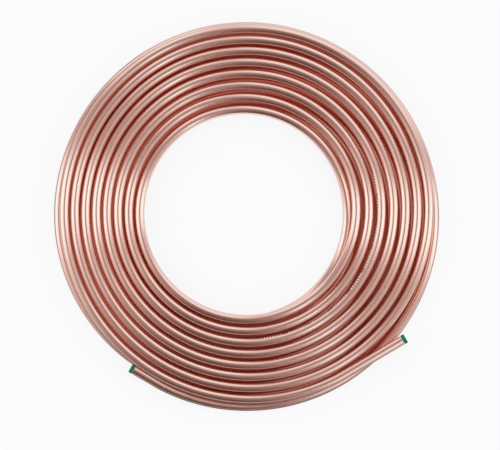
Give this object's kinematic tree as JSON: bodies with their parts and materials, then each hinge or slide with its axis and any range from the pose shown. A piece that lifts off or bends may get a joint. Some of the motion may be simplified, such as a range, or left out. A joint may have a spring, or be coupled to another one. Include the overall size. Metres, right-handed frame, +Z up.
{
  "type": "copper tube coil",
  "caption": "Flat coil of soft drawn copper tube wound in layers around an open bore, its free ends closed by push-in plastic plugs.",
  "frame": {"origin": "centre of the coil's footprint, on the surface it lies on", "axes": "+Z up, through the coil's bore; +X to the right and +Y away, with the two free ends towards -Y"},
  "size_m": [0.3956, 0.3996, 0.0192],
  "materials": {
    "copper": "bright drawn soft copper, satin",
    "plug_plastic": "moulded, semi-matt"
  },
  "bodies": {
    "root": {"tube": "copper", "upper_end_plug": "plug_plastic", "lower_end_plug": "plug_plastic"}
  },
  "joints": []
}
